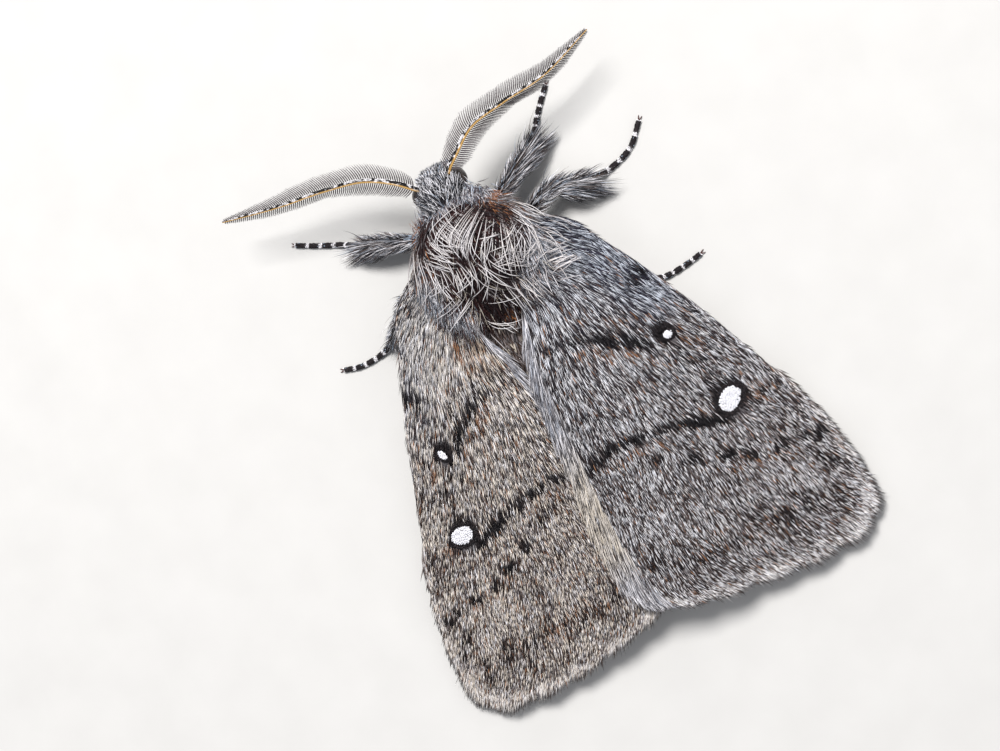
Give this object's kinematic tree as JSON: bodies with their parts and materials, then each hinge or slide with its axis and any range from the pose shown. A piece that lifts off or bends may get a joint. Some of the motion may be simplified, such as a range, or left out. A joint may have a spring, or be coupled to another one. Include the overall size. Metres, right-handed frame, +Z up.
{
  "type": "male anthelid moth at rest",
  "caption": "Life-size still model of a male Anthela xantharcha moth at rest, its grey wings folded like a roof and its feathered antennae spread.",
  "frame": {"origin": "on the floor, below the middle of the moth's bounding box", "axes": "+Y towards the head, +X to the moth's right side, +Z up from the floor"},
  "size_m": [0.0328, 0.0406, 0.0094],
  "materials": {
    "thorax": "long grey-white hair over dark brown and rust",
    "head": "short bluish grey hair",
    "abdomen": "dense brown-grey hair",
    "forewing": "matte hair-like scales, white over dark brown, with dark lines and white spots",
    "hindwing": "matte soft scales",
    "eye": "dark and finely faceted",
    "antenna": "ochre shaft scaled black and white, dark rays",
    "leg": "dark scales with grey hair and white joint bands"
  },
  "bodies": {
    "root": {"thorax": "thorax", "head": "head", "palp_left": "head", "palp_right": "head", "abdomen": "abdomen", "forewing_left": "forewing", "forewing_right": "forewing", "hindwing_left": "hindwing", "hindwing_right": "hindwing", "eye_left": "eye", "eye_right": "eye", "antenna_left": "antenna", "antenna_right": "antenna", "leg_front_left_femur": "leg", "leg_front_left_tibia": "leg", "leg_front_left_tarsus": "leg", "leg_front_right_femur": "leg", "leg_front_right_tibia": "leg", "leg_front_right_tarsus": "leg", "leg_middle_left_femur": "leg", "leg_middle_left_tibia": "leg", "leg_middle_left_tarsus": "leg", "leg_middle_right_femur": "leg", "leg_middle_right_tibia": "leg", "leg_middle_right_tarsus": "leg", "leg_hind_left_femur": "leg", "leg_hind_left_tibia": "leg", "leg_hind_left_tarsus": "leg", "leg_hind_right_femur": "leg", "leg_hind_right_tibia": "leg", "leg_hind_right_tarsus": "leg"}
  },
  "joints": []
}
